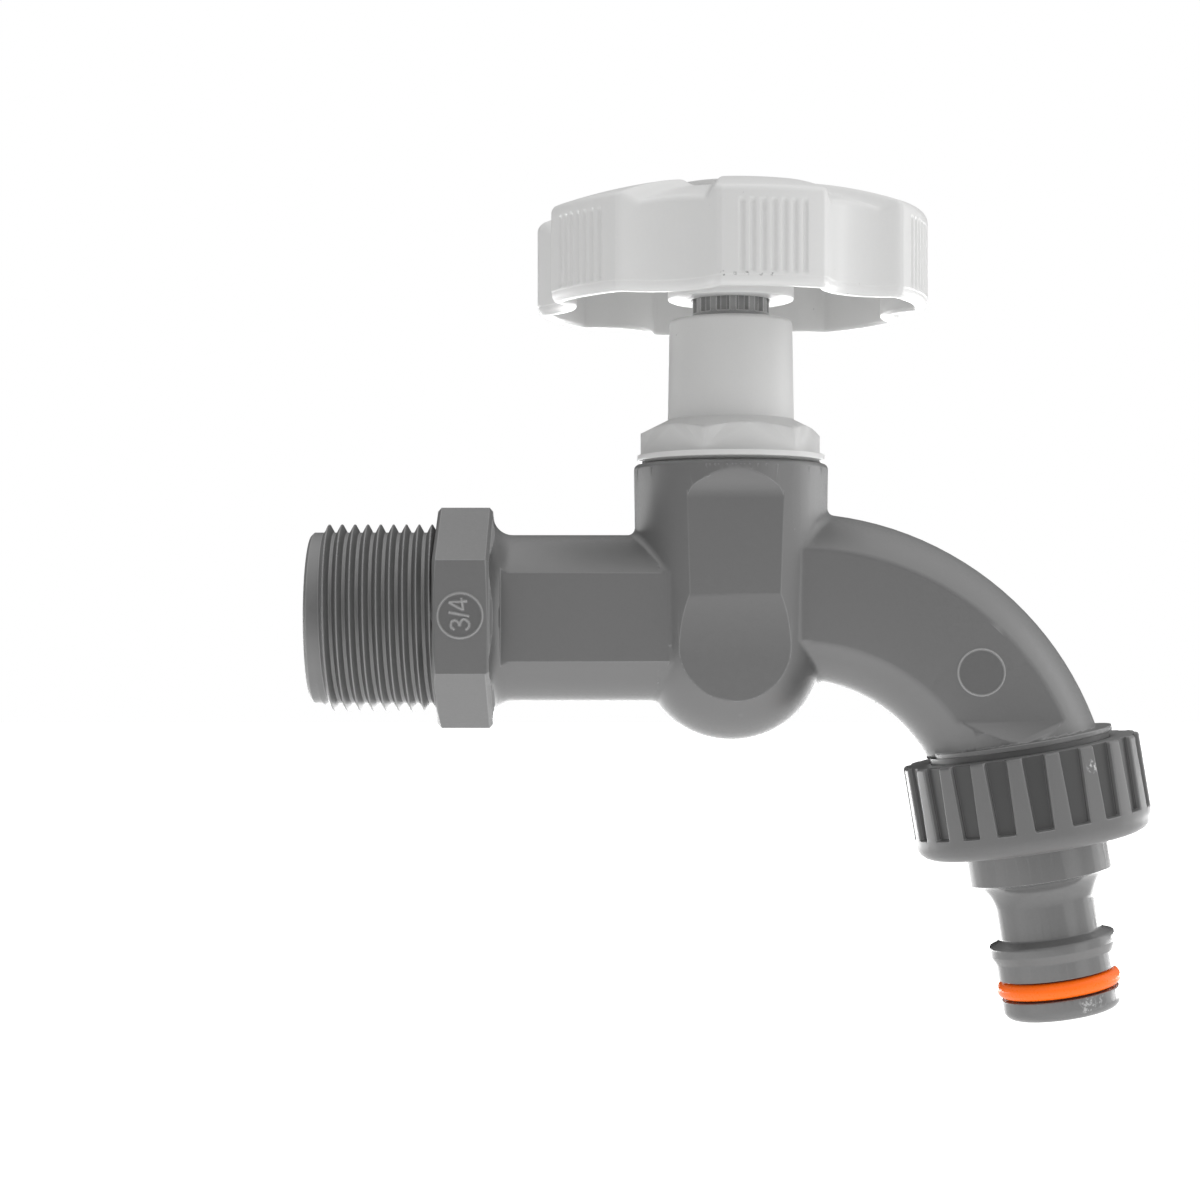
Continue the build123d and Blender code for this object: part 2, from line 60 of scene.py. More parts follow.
def weld(piece, reach):
    work = bmesh.new()
    work.from_mesh(piece.data)
    bmesh.ops.remove_doubles(work, verts=work.verts, dist=reach)
    bmesh.ops.dissolve_degenerate(work, edges=work.edges, dist=reach / 4)
    bmesh.ops.recalc_face_normals(work, faces=work.faces)
    work.to_mesh(piece.data)
    work.free()


def openEdges(mesh):  # edges with a face on one side only
    edgeOfCorner = np.zeros(len(mesh.loops), np.int32)
    mesh.loops.foreach_get("edge_index", edgeOfCorner)
    return int(np.sum(np.bincount(edgeOfCorner) == 1))


def copyOfNode(nodeName, name):
    piece = bpy.data.objects.new(name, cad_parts[nodeName].data.copy())
    piece.data.name = name
    piece.data.materials.clear()
    bpy.context.scene.collection.objects.link(piece)
    weld(piece, coarseWeld)
    return piece


def setShape(piece):  # turns the piece's modifiers into its mesh
    graph = bpy.context.evaluated_depsgraph_get()
    shaped = bpy.data.meshes.new_from_object(piece.evaluated_get(graph), depsgraph=graph)
    old = piece.data
    piece.modifiers.clear()
    piece.data = shaped
    bpy.data.meshes.remove(old)
    piece.data.name = piece.name


def joinShapes(piece, other, how):
    cut = piece.modifiers.new("join", "BOOLEAN")
    cut.operation = how
    cut.solver = "MANIFOLD"
    cut.object = other
    setShape(piece)
    bpy.data.objects.remove(other)


def shadeByAngle(piece, degrees):
    mesh = piece.data
    mesh.polygons.foreach_set("use_smooth", [True] * len(mesh.polygons))
    mesh.set_sharp_from_angle(angle=math.radians(degrees))


def crispFlats(piece, degrees):  # flats stay flat up to their edges, and curves stay smooth
    shadeByAngle(piece, degrees)
    flats = piece.modifiers.new("flats", "WEIGHTED_NORMAL")
    flats.mode = "FACE_AREA_WITH_ANGLE"
    flats.weight = 80
    flats.keep_sharp = True
    setShape(piece)


def closedGrid(name, rings, reach=fineWeld, wrapped=True):
    # rings[k][j]: closed rings in a row. Where wrapped, the last is joined to the first.
    turns, around = rings.shape[:2]
    index = np.arange(turns * around).reshape(turns, around)
    onward, across = np.roll(index, -1, 0), np.roll(index, -1, 1)
    both = np.roll(onward, -1, 1)
    faces = np.stack([index, across, both, onward], -1)
    if not wrapped:
        faces = faces[:-1]
    piece = newPiece(name, rings.reshape(-1, 3), faces.reshape(-1, 4).tolist())
    weld(piece, reach)
    return piece


def turnedAlongX(name, profile, count, reach=fineWeld):  # round the inlet's axis; profile: (x, radius)
    rings = []
    for angle in np.linspace(0, 2 * math.pi, count, endpoint=False):
        rings.append([(x * mm, r * math.cos(angle) * mm, r * math.sin(angle) * mm) for x, r in profile])
    return closedGrid(name, np.array(rings), reach)


def turnedUpright(name, profile, count):  # round the valve's axis; profile: (radius, z)
    rings = []
    for angle in np.linspace(0, 2 * math.pi, count, endpoint=False):
        x, y = math.cos(angle), math.sin(angle)
        rings.append([((wheelAxisX + r * x) * mm, r * y * mm, z * mm) for r, z in profile])
    return closedGrid(name, np.array(rings))


def prismAlongX(name, section, startX, endX):  # section: (y, z)
    count = len(section)
    points = [(x * mm, y * mm, z * mm) for x in (startX, endX) for y, z in section]
    faces = [tuple(range(count)), tuple(range(2 * count - 1, count - 1, -1))]
    faces += [(k, (k + 1) % count, count + (k + 1) % count, count + k) for k in range(count)]
    piece = newPiece(name, points, faces)
    weld(piece, fineWeld)
    return piece


def circlePoints(centre, radius, count):
    angles = np.linspace(0, 2 * math.pi, count, endpoint=False)
    return [(centre[0] + radius * math.cos(a), centre[1] + radius * math.sin(a)) for a in angles]


def smoothStep(low, high, value):
    t = np.clip((np.asarray(value, float) - low) / (high - low), 0, 1)
    return t * t * (3 - 2 * t)


def softMin(a, b, ease):
    return 0.5 * (a + b - np.sqrt((a - b) ** 2 + ease**2))


def finishPiece(piece, node, body, finishNames):
    piece.data.materials.clear()
    for name in finishNames:
        piece.data.materials.append(finishes[name])
    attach(piece, body)
    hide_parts(node)
    piece.data.calc_loop_triangles()
    triangles = len(piece.data.loop_triangles)
    print(" ", piece.name, "has", triangles, "triangles and", openEdges(piece.data), "open edges")


# Plastics, rubber and steel: one recipe, with a look for each finish

def mouldedFinish(name, look):
    finish = bpy.data.materials.new(name)
    finish.use_nodes = True
    nodes, links = finish.node_tree.nodes, finish.node_tree.links
    shader = nodes["Principled BSDF"]
    shader.inputs["Specular IOR Level"].default_value = look["sheen"]
    shader.inputs["IOR"].default_value = look["ior"]
    shader.inputs["Metallic"].default_value = look["metallic"]
    shader.inputs["Emission Color"].default_value = look["glowColour"]
    shader.inputs["Emission Strength"].default_value = look["glow"]
    place = nodes.new("ShaderNodeTexCoord").outputs["Object"]

    def noise(scale, detail, stretch=(1, 1, 1)):
        spread = nodes.new("ShaderNodeMapping")
        spread.inputs["Scale"].default_value = stretch
        links.new(place, spread.inputs["Vector"])
        cloud = nodes.new("ShaderNodeTexNoise")
        cloud.inputs["Scale"].default_value = scale
        cloud.inputs["Detail"].default_value = detail
        links.new(spread.outputs["Vector"], cloud.inputs["Vector"])
        return cloud.outputs["Fac"]

    def span(source, fromLow, fromHigh, toLow, toHigh):
        change = nodes.new("ShaderNodeMapRange")
        for socket, value in zip(change.inputs[1:5], (fromLow, fromHigh, toLow, toHigh)):
            socket.default_value = value
        links.new(source, change.inputs[0])
        return change.outputs[0]

    def blendColour(share, colour, below):
        mix = nodes.new("ShaderNodeMix")
        mix.data_type = "RGBA"
        links.new(share, mix.inputs["Factor"])
        if isinstance(below, tuple):
            mix.inputs["A"].default_value = below
        else:
            links.new(below, mix.inputs["A"])
        mix.inputs["B"].default_value = colour
        return mix.outputs["Result"]

    def shade(amount):
        return tuple(min(1.0, part * amount) for part in look["colour"]) + (1.0,)

    flow = span(noise(look["flowScale"], 3), 0.35, 0.65, 0, 1)  # faint flow marks of the moulding
    tone = blendColour(flow, shade(1 + look["flowTone"]), shade(1 - look["flowTone"]))
    grain = noise(look["grainScale"], 4)
    grainShare = span(grain, 0.35, 0.7, 0, look["grainTone"])
    tone = blendColour(grainShare, shade(look["grainLight"]), tone)
    speckFull = look["speckFrom"] + 0.03  # where the noise is high enough for a whole speck
    specks = span(noise(look["speckScale"], 2), look["speckFrom"], speckFull, 0, look["speckShare"])
    tone = blendColour(specks, look["speckColour"], tone)
    scuffs = span(noise(look["scuffScale"], 5, look["scuffStretch"]), 0.7, 0.76, 0, look["scuff"])
    tone = blendColour(scuffs, shade(look["scuffLight"]), tone)
    edge = nodes.new("ShaderNodeBevel")  # the small rounding of every moulded edge
    edge.samples = 8
    edge.inputs["Radius"].default_value = look["edge"] * mm
    turned = nodes.new("ShaderNodeVectorMath")
    turned.operation = "DOT_PRODUCT"
    links.new(edge.outputs["Normal"], turned.inputs[0])
    links.new(nodes.new("ShaderNodeNewGeometry").outputs["Normal"], turned.inputs[1])
    # painted highlight: a lighter shade along each edge's rounding, where light would catch it
    paintedEdgeHighlight = span(turned.outputs["Value"], 0.9992, 0.98, 0, look["edgeHighlightShare"])
    tone = blendColour(paintedEdgeHighlight, shade(look["edgeHighlightBrightness"]), tone)
    for spot, radius, share, colour in look["blemishes"]:
        away = nodes.new("ShaderNodeVectorMath")
        away.operation = "DISTANCE"
        links.new(place, away.inputs[0])
        away.inputs[1].default_value = tuple(part * mm for part in spot)
        near = span(away.outputs["Value"], radius * mm, radius * 0.4 * mm, 0, 1)
        patchy = nodes.new("ShaderNodeMath")
        patchy.operation = "MULTIPLY"
        links.new(near, patchy.inputs[0])
        links.new(span(noise(look["patchScale"], 4), 0.5, 0.62, 0, share), patchy.inputs[1])
        tone = blendColour(patchy.outputs[0], colour, tone)
    links.new(tone, shader.inputs["Base Color"])

    roughLow, roughHigh = look["rough"] - look["roughSpread"], look["rough"] + look["roughSpread"]
    rough = span(grain, 0.3, 0.7, roughLow, roughHigh)
    links.new(rough, shader.inputs["Roughness"])
    broad = nodes.new("ShaderNodeBump")
    links.new(edge.outputs["Normal"], broad.inputs["Normal"])
    broad.inputs["Strength"].default_value = look["waveStrength"]
    broad.inputs["Distance"].default_value = 0.2 * mm
    links.new(noise(look["flowScale"] * 2.5, 2), broad.inputs["Height"])
    fine = nodes.new("ShaderNodeBump")
    fine.inputs["Strength"].default_value = look["grainStrength"]
    fine.inputs["Distance"].default_value = 0.03 * mm
    links.new(grain, fine.inputs["Height"])
    links.new(broad.outputs["Normal"], fine.inputs["Normal"])
    links.new(fine.outputs["Normal"], shader.inputs["Normal"])
    return finish


greyLook = {
    "colour": (0.09, 0.09, 0.09),
    "sheen": 1.0,
    "ior": 1.65,
    "metallic": 0.0,
    "glow": 0.0,
    "glowColour": (1.0, 1.0, 1.0, 1),
    "edge": 0.25,  # rounding in mm
    "edgeHighlightShare": 0.9,  # how strong the painted edge highlight along the rounding is, and how light that is
    "edgeHighlightBrightness": 2.2,
    "blemishes": [],  # (place in mm, radius in mm, share, colour)
    "patchScale": 1900,
    "rough": 0.42,
    "roughSpread": 0.06,
    "flowScale": 28,
    "flowTone": 0.03,
    "grainScale": 2600,
    "grainTone": 0.26,
    "grainLight": 1.35,
    "grainStrength": 0.35,
    "waveStrength": 0.10,
    "speckScale": 900,
    "speckFrom": 0.80,
    "speckShare": 0.5,
    "speckColour": (0.3, 0.3, 0.3, 1),
    "scuffScale": 260,
    "scuffStretch": (1, 1, 0.15),
    "scuff": 0.25,
    "scuffLight": 1.7,
}
whiteLook = dict(
    greyLook,
    colour=(0.71, 0.71, 0.705),
    sheen=0.68,
    ior=1.5,
    rough=0.40,
    flowTone=0.012,
    grainTone=0.03,
    grainStrength=0.22,
    speckFrom=0.78,
    speckColour=(0.25, 0.25, 0.25, 1),
    edgeHighlightShare=0.12,
    scuff=0.1,
    blemishes=[  # dark marks on the witness line
        ((38.9, -27.4, 44.5), 0.5, 0.9, (0.12, 0.12, 0.12, 1)),
        ((40.3, -27.6, 44.5), 0.45, 0.8, (0.12, 0.12, 0.12, 1)),
        ((42.0, -27.7, 44.5), 0.4, 0.9, (0.12, 0.12, 0.12, 1)),
        ((43.8, -27.6, 44.5), 0.4, 0.8, (0.12, 0.12, 0.12, 1)),
        ((45.4, -27.4, 44.5), 0.45, 0.8, (0.12, 0.12, 0.12, 1)),
        ((56.4, -18.9, 44.5), 0.5, 0.8, (0.12, 0.12, 0.12, 1)),
        ((58.0, -17.9, 44.5), 0.5, 0.6, (0.12, 0.12, 0.12, 1)),
    ],
)
connectorLook = dict(
    greyLook,
    colour=(0.15, 0.15, 0.15),
    sheen=0.5,
    ior=1.5,
    rough=0.4,
    roughSpread=0.02,
    grainTone=0.08,
    grainStrength=0.06,
    edgeHighlightShare=0.5,
    blemishes=[
        ((89.5, -15.2, -20.2), 1.1, 0.9, (0.6, 0.6, 0.6, 1)),
        ((90.3, -7.9, -53.6), 1.5, 0.7, (0.55, 0.55, 0.55, 1)),
        ((92.3, -7.0, -52.9), 1.2, 0.5, (0.5, 0.5, 0.5, 1)),
    ],
)
looks = {
    "bodyGrey": greyLook,
    "markGrey": dict(greyLook, colour=(0.07, 0.07, 0.07), rough=0.36),
    # painted highlight: the marks' raised lines, lighter than the body
    "raisedLineHighlightGrey": dict(greyLook, colour=(0.155, 0.155, 0.155)),
    "connectorGrey": connectorLook,
    # painted shade: the rib gaps' floors are darker than the nut, and a little glossier
    "recessShadeGrey": dict(connectorLook, colour=(0.05, 0.05, 0.05), sheen=0.6),
    "nippleGrey": dict(
        connectorLook,
        sheen=0.75,
        rough=0.2,
        waveStrength=0.06,
        grainStrength=0.03,
        edge=0.1,
    ),
    # painted light: the spindle's grey is lightened to stand in for the light from below that reaches it
    # under the wheel
    "spindlePaintedLightGrey": dict(greyLook, colour=(0.3, 0.3, 0.3)),
    "wheelWhite": whiteLook,
    "bonnetWhite": dict(whiteLook, colour=(0.67, 0.67, 0.665), blemishes=[]),
    "ringOrange": dict(
        greyLook,
        colour=(1.0, 0.16, 0.01),
        sheen=0.35,
        ior=1.45,
        glow=0.16,  # painted glow: emission that makes the ring brighter than its lit colour
        glowColour=(1.0, 0.13, 0.0, 1),
        edgeHighlightShare=0.0,
        rough=0.3,
        grainTone=0.02,
        flowTone=0.02,
        scuff=0.0,
    ),
    "sealBlack": dict(greyLook, colour=(0.02, 0.02, 0.02), rough=0.5),
    "washerGrey": dict(greyLook, colour=(0.05, 0.05, 0.05), rough=0.5),
    "turnedSteel": dict(greyLook, colour=(0.55, 0.55, 0.55), metallic=1.0, rough=0.3, scuff=0.1),
}
finishes = {name: mouldedFinish(name, look) for name, look in looks.items()}
print("finishes made:", len(finishes))


# Tap body: the moulding with eased edges, a real thread on the inlet and its raised marks

bodyShape = {
    "threadPitch": 1.814,
    "crestRadius": 13.22,
    "rootRadius": 12.06,
    "crestHalf": 0.075,  # half the flat on each crest
    "flank": 0.607,
    "topCrestX": -0.8,  # where a crest meets the upper outline, next to the flange
    "threadStartX": -16.3,
    "threadFullX": -15.2,
    "leadInX": -17.3,
    "endX": -17.7,
    "boreRadius": 7.5,
    "anglesRound": 180,
    "weldReach": 0.004,
    "clearedX": -19.0,  # the plain shank is cut away from here to the flange, out to this radius
    "clearedRadius": 13.8,
}


def threadedShank():
    shape = bodyShape
    pitch, crest, root = shape["threadPitch"], shape["crestRadius"], shape["rootRadius"]
    half, flank = shape["crestHalf"], shape["flank"]
    inside = 1.5  # how far the shank runs into the flange
    steps = [-half - flank, -half - flank * 0.5, -half, 0]
    steps += [half, half + flank * 0.5, half + flank, pitch / 2]
    heights = [0, 0.5, 0.97, 1, 0.97, 0.5, 0, 0]
    rings = []
    for angle in np.linspace(0, 2 * math.pi, shape["anglesRound"] + 1):
        shift = shape["topCrestX"] + pitch * (angle - math.pi / 2) / (2 * math.pi)
        outline = []
        for turn in range(-11, 3):  # far enough to reach past both ends
            for step, height in zip(steps, heights):
                x = min(max(shift + turn * pitch + step, shape["leadInX"]), inside)
                fade = smoothStep(shape["threadStartX"], shape["threadFullX"], x)
                fade = fade * (1 - smoothStep(0.4, 1.2, x))
                outline.append((x, root + (crest - root) * height * float(fade)))
        outline = outline[::-1]  # from the flange out to the end
        outline += [
            (shape["endX"], root - 0.4),
            (shape["endX"], shape["boreRadius"] + 0.5),
            (shape["endX"] + 0.2, shape["boreRadius"] + 0.12),
            (shape["endX"] + 0.5, shape["boreRadius"]),
            (0.3, shape["boreRadius"]),
            (0.5, shape["boreRadius"] + 1.5),
            (inside, shape["boreRadius"] + 1.5),
        ]
        cosine, sine = math.cos(angle), math.sin(angle)
        rings.append([(x * mm, r * cosine * mm, r * sine * mm) for x, r in outline])
    return closedGrid("threadedShank", np.array(rings), shape["weldReach"] * mm, wrapped=False)


def shankCutter():
    far, radius = bodyShape["clearedX"], bodyShape["clearedRadius"]
    return turnedAlongX("shankCutter", [(far, 0), (far, radius), (0, radius), (0, 0)], 72, coarseWeld)


# A finely divided skin for the valve chamber, so the edge of its panel is a true curve

chamberShape = {
    "topZ": 20.85,
    "topRadius": 13.683,
    "ballZ": -3.8,
    "ballRadius": 13.35,
    "innerLow": 10.6,  # the skin's own inside, below and above the step
    "innerHigh": 11.45,
    "innerStepZ": 11.9,
    "anglesRound": 288,
    "upperY": -11.94,  # the panel's two flats, and the curves that run out of them
    "lowerY": -10.9,
    "archZ": 16.3,
    "archTopZ": 19.75,
    "archTopY": -13.68,
    "stepZ": 3.28,
    "stepEndZ": -5.5,
    "panelFoot": -18.0,  # how far down and out the panel's cutter reaches
    "panelOut": 6.0,
    "bores": [(7.6, 0.0, 0.0, 41.4), (4.45, 6.2, 41.4, 62.0)],  # radius, height, start and end along X
}


def panelSection():  # (y, z) of what the front panel's cutter takes away
    shape = chamberShape
    upper, lower = shape["upperY"], shape["lowerY"]
    out, archZ, rise = shape["archTopY"] - upper, shape["archZ"], shape["archTopZ"] - shape["archZ"]
    stepEndZ, fall = shape["stepEndZ"], shape["stepZ"] - shape["stepEndZ"]
    slope = [(lower + (upper - lower) * t**2, stepEndZ + fall * t) for t in np.linspace(0, 1, 12)]
    arch = [(upper + out * t**2, archZ + rise * t) for t in np.linspace(0, 1.4, 15)]
    far, foot = shape["archTopY"] - shape["panelOut"], shape["panelFoot"]
    return slope + arch + [(far, arch[-1][1]), (far, foot), (lower, foot)]


def ballCurve(radius, fromAngle, toAngle, count):  # (radius, z) on the chamber's round lower end
    angles = np.linspace(fromAngle, toAngle, count)
    return [(math.sin(a) * radius, chamberShape["ballZ"] - math.cos(a) * radius) for a in angles]


def chamberSkin():
    shape = chamberShape
    inner, high, stepZ = shape["innerLow"], shape["innerHigh"], shape["innerStepZ"]
    outside = ballCurve(shape["ballRadius"], 0, math.pi / 2, 80)
    top = [(shape["topRadius"], shape["topZ"]), (high, shape["topZ"]), (high, stepZ), (inner, stepZ)]
    inside = ballCurve(inner, math.pi / 2, 0, 30)
    piece = turnedUpright("chamberSkin", outside + top + inside, shape["anglesRound"])
    reach = shape["topRadius"] + 1
    for side in (1, -1):
        section = [(y * side, z) for y, z in panelSection()]
        cutter = prismAlongX("panelCut", section, wheelAxisX - reach, wheelAxisX + reach)
        joinShapes(piece, cutter, "DIFFERENCE")
    for radius, height, startX, endX in shape["bores"]:
        bore = prismAlongX("boreCut", circlePoints((0, height), radius, 48), startX, endX)
        joinShapes(piece, bore, "DIFFERENCE")
    return piece


filletShape = {  # the hollow rounding between flange and barrel, and the barrel's round skin
    "faceX": 7.8,
    "radius": 2.8,
    "barrel": 11.7,
    "skin": 0.6,
    "skinEnd": 30.9,
    "flats": 26.0,  # across the hexagon's flats
    "flatFrom": 9.2,  # where the barrel's side flats start
    "flatY": 10.0,
    "flatHalf": 9.0,
    "anglesRound": 192,
}


def flangeFillet():
    shape = filletShape
    radius, barrel, faceX = shape["radius"], shape["barrel"], shape["faceX"]
    inner = barrel - shape["skin"]
    section = [(faceX - 0.5, inner), (faceX - 0.5, barrel + radius)]
    for angle in np.radians(np.linspace(180, 270, 14)):
        section.append((faceX + radius * (1 + math.cos(angle)), barrel + radius * (1 + math.sin(angle))))
    section += [(shape["skinEnd"], barrel), (shape["skinEnd"], inner)]
    piece = turnedAlongX("flangeFillet", section, shape["anglesRound"])
    corner = shape["flats"] / 2 / math.cos(math.pi / 6)
    turns = np.radians(np.arange(90, 450, 60))
    outline = [(corner * math.cos(a), corner * math.sin(a)) for a in turns]
    past = shape["skinEnd"] + 2
    joinShapes(piece, prismAlongX("filletHexagon", outline, faceX - 2, past), "INTERSECT")
    for side in (1, -1):
        near, far, half = side * shape["flatY"], side * 2 * shape["flatY"], shape["flatHalf"]
        outline = [(near, -half), (far, -half), (far, half), (near, half)]
        joinShapes(piece, prismAlongX("flatCut", outline, shape["flatFrom"], past), "DIFFERENCE")
    return piece


# The raised marks: low beads round and in shallow discs

def roundedPath(points, closed, steps=8):  # eases a drawn line through its points
    points = np.array(points, float)
    count = len(points)
    path = []
    for k in range(count if closed else count - 1):
        near = [(k + j) % count if closed else min(max(k + j, 0), count - 1) for j in (-1, 0, 1, 2)]
        a, b, c, d = points[near]
        for t in np.linspace(0, 1, steps, endpoint=False):
            bend = (2 * a - 5 * b + 4 * c - d) * t**2 + (3 * b - a - 3 * c + d) * t**3
            path.append(0.5 * (2 * b + (c - a) * t + bend))
    if not closed:
        path.append(points[-1])
    return np.array(path)


def raisedLine(name, points, closed, faceY, half, height):
    # A low rounded bead on a face that looks along -Y. Points are (x, z) in mm.
    path = roundedPath(points, closed) if len(points) > 2 else np.array(points, float)
    count = len(path)
    foot, shoulder = -0.25, 0.7 * half  # the bead's foot is sunk into the face
    bead = [(-half, foot), (-half, 0.0), (-shoulder, 0.75 * height), (0.0, height)]
    bead += [(shoulder, 0.75 * height), (half, 0.0), (half, foot)]
    places = []
    for k in range(count):
        ahead = path[(k + 1) % count] if closed or k < count - 1 else path[k]
        behind = path[k - 1] if closed or k > 0 else path[k]
        along = (ahead - behind) / np.linalg.norm(ahead - behind)
        side = np.array([-along[1], along[0]])
        for across, up in bead:
            x, z = path[k] + side * across
            places.append((x * mm, (faceY - up) * mm, z * mm))
    width = len(bead)
    faces = []
    for k in range(count if closed else count - 1):
        here, onward = k * width, ((k + 1) % count) * width
        for j in range(width):
            after = (j + 1) % width
            faces.append((here + j, here + after, onward + after, onward + j))
    if not closed:
        faces += [tuple(range(width)), tuple(range((count - 1) * width, count * width))]
    piece = newPiece(name, places, faces)
    weld(piece, fineWeld)
    return piece


def shallowDisc(name, centre, radius, faceY, depth):
    floorY, outY = faceY + depth, faceY - 1
    rings = []
    for x, z in circlePoints((0, 0), 1, 64):
        ring = [(0, floorY), (radius, floorY), (radius, outY), (0, outY)]
        rings.append([((centre[0] + r * x) * mm, y * mm, (centre[1] + r * z) * mm) for r, y in ring])
    return closedGrid(name, np.array(rings))


sizeMark = {
    "faceY": -13.5,
    "centre": (3.87, 0.2),
    "ringRadius": 3.05,
    "ringHalf": 0.11,
    "lineHalf": 0.16,
    "height": 0.2,
    "recess": 0.05,
    "strokes": {  # reads from bottom to top, in mm from the ring's centre
        "three": [
            (-0.75, -1.9), (-1.1, -1.63), (-1.25, -1.25), (-1.13, -0.83), (-0.78, -0.66), (-0.44, -0.73),
            (-0.2, -1.0), (-0.06, -1.3), (0.12, -0.76), (0.46, -0.47), (0.88, -0.59), (1.19, -0.97),
            (1.23, -1.38), (1.02, -1.73), (0.74, -1.9),
        ],
        "bar": [(-1.51, 0.47), (1.23, -0.1)],
        "fourSlope": [(-1.5, 1.8), (0.38, 0.78)],
        "fourCross": [(0.42, 0.72), (0.19, 2.39)],
        "fourStem": [(-1.52, 1.84), (0.98, 1.97)],
    },
}
spoutMark = {
    "faceY": -10.0,
    "centre": (75.26, -7.57),
    "ringRadius": 3.2,
    "ringHalf": 0.12,
    "height": 0.16,
    "recess": 0.05,
}


def addMarks(piece):
    for mark in (sizeMark, spoutMark):
        centre, faceY, radius = mark["centre"], mark["faceY"], mark["ringRadius"]
        joinShapes(piece, shallowDisc("recess", centre, radius, faceY, mark["recess"]), "DIFFERENCE")
        circle = circlePoints(centre, radius, 48)
        ring = raisedLine("ring", circle, True, faceY, mark["ringHalf"], mark["height"])
        joinShapes(piece, ring, "UNION")
        for name, points in mark.get("strokes", {}).items():
            moved = [(centre[0] + x, centre[1] + z) for x, z in points]
            line = raisedLine(name, moved, False, faceY, mark["lineHalf"], mark["height"])
            joinShapes(piece, line, "UNION")


def paintMarks(piece):  # the discs inside the marks are smoother and darker, and the raised lines are lighter, a painted highlight where they catch light
    smooth, highlighted = 1, 2  # places in the piece's list of finishes
    for face in piece.data.polygons:
        middle = face.center / mm
        for mark in (sizeMark, spoutMark):
            away = math.hypot(middle.x - mark["centre"][0], middle.z - mark["centre"][1])
            level = middle.y - mark["faceY"]
            if away < mark["ringRadius"] and abs(level - mark["recess"]) < 0.02:
                face.material_index = smooth
            elif away < mark["ringRadius"] + 0.3 and -0.4 < level < -0.01:
                face.material_index = highlighted


def makeTapBody():
    piece = copyOfNode("tap_body", "tapBody")
    joinShapes(piece, chamberSkin(), "UNION")
    joinShapes(piece, flangeFillet(), "UNION")
    joinShapes(piece, shankCutter(), "DIFFERENCE")
    joinShapes(piece, threadedShank(), "UNION")
    addMarks(piece)
    crispFlats(piece, flatAngle)
    finishPiece(piece, "tap_body", "tap", ["bodyGrey", "markGrey", "raisedLineHighlightGrey"])
    paintMarks(piece)


makeTapBody()
print("tap body made")


# Bonnet and cap: the mouldings with crisp flats

mouldings = {
    "bonnetSoft": ("bonnet", "tap", "bonnet_white", "bonnetWhite"),  # node, body, slot, finish
    "handwheelcapSoft": ("handwheel_cap", "wheel_group", "cap_white", "wheelWhite"),
}
for name, (node, body, slotName, finishName) in mouldings.items():
    piece = copyOfNode(node, name)
    crispFlats(piece, flatAngle)
    finishPiece(piece, node, body, [finishName])
print("bonnet and cap made")


# Hose connector: ribbed nut and nipple, drawn as slices round the outlet's axis

outlet = {"start": (82.07, -17.4), "tilt": 9.5}  # x and z of the spout's end, and its lean in degrees
connectorShape = {
    "gaps": 20,
    "gapFirst": -4.0,
    "gapTopHalf": 1.55,
    "gapLowHalf": 1.25,
    "gapTop": 1.2,
    "gapEnd": 11.3,
    "floorRadius": 15.8,
    "nutRadius": 16.6,
    "nutEnd": 14.6,
    "inside": [(5.3, 12.0, 0), (12.65, 12.0, 0), (12.65, 1.2, 0.25), (16.6, 1.2, 0.4)],
    "side": [11.05, 11.15, 11.22, 11.27, 11.32, 11.38, 11.45, 11.6, 12.0],  # rows at the gaps' low end
    "low": [(16.6, 14.6, 2.2), (10.2, 14.6, 0.25)],
    "collarEnd": 19.1,
    "sweepCentre": (11.103, 23.0),  # hollow curve from the collar to the neck
    "sweepRadius": 4.003,
    "sweepFrom": 257.0,
    "nipple": [  # radius, distance along the outlet, rounding
        (7.1, 27.5, 0.3), (8.85, 28.2, 0.45), (8.85, 29.5, 0.35), (8.25, 30.7, 0.5), (8.25, 33.1, 0.15),
        (6.4, 33.1, 0), (6.4, 35.9, 0), (8.25, 35.9, 0.15), (8.25, 38.8, 1.4), (5.3, 38.8, 0.2),
    ],
}


def outletPlace(turn, radius, along):  # a point round the outlet's axis, in mm
    tilt = math.radians(outlet["tilt"])
    startX, startZ = outlet["start"]
    across = radius * np.sin(turn)
    x = startX + across * math.cos(tilt) + along * math.sin(tilt)
    z = startZ + across * math.sin(tilt) - along * math.cos(tilt)
    return np.stack([x, -radius * np.cos(turn), z], -1)


def easedCorners(corners, closing, steps=6):  # corners: (radius, along, rounding)
    points = []
    ends = [closing[0]] + corners + [closing[1]]
    for before, corner, after in zip(ends, corners, ends[2:]):
        here = np.array(corner[:2], float)
        if corner[2] == 0:
            points.append(tuple(here))
            continue
        back = np.array(before[:2]) - here
        ahead = np.array(after[:2]) - here
        back, ahead = back / np.linalg.norm(back), ahead / np.linalg.norm(ahead)
        half = math.acos(np.clip(back @ ahead, -1, 1)) / 2
        reach = corner[2] / math.tan(half)
        centre = here + (back + ahead) / np.linalg.norm(back + ahead) * corner[2] / math.sin(half)
        first, last = here + back * reach - centre, here + ahead * reach - centre
        for t in np.linspace(0, 1, steps):
            ray = first * (1 - t) + last * t
            points.append(tuple(centre + ray / np.linalg.norm(ray) * corner[2]))
    return points


def connectorProfile():
    shape = connectorShape
    collarCorner = (shape["low"][-1][0], shape["collarEnd"], 0)
    rows = easedCorners(shape["inside"], (shape["nipple"][-1], shape["low"][0]))
    rows += [(shape["nutRadius"], along) for along in shape["side"]]
    rows += easedCorners(shape["low"], ((shape["nutRadius"], shape["gapTop"], 0), collarCorner))
    centre, radius = shape["sweepCentre"], shape["sweepRadius"]
    for angle in np.radians(np.linspace(shape["sweepFrom"], 180, 18)):
        rows.append((centre[0] + radius * math.cos(angle), centre[1] + radius * math.sin(angle)))
    neck = (shape["nipple"][0][0], centre[1], 0)
    return np.array(rows + easedCorners(shape["nipple"], (neck, shape["inside"][0])))


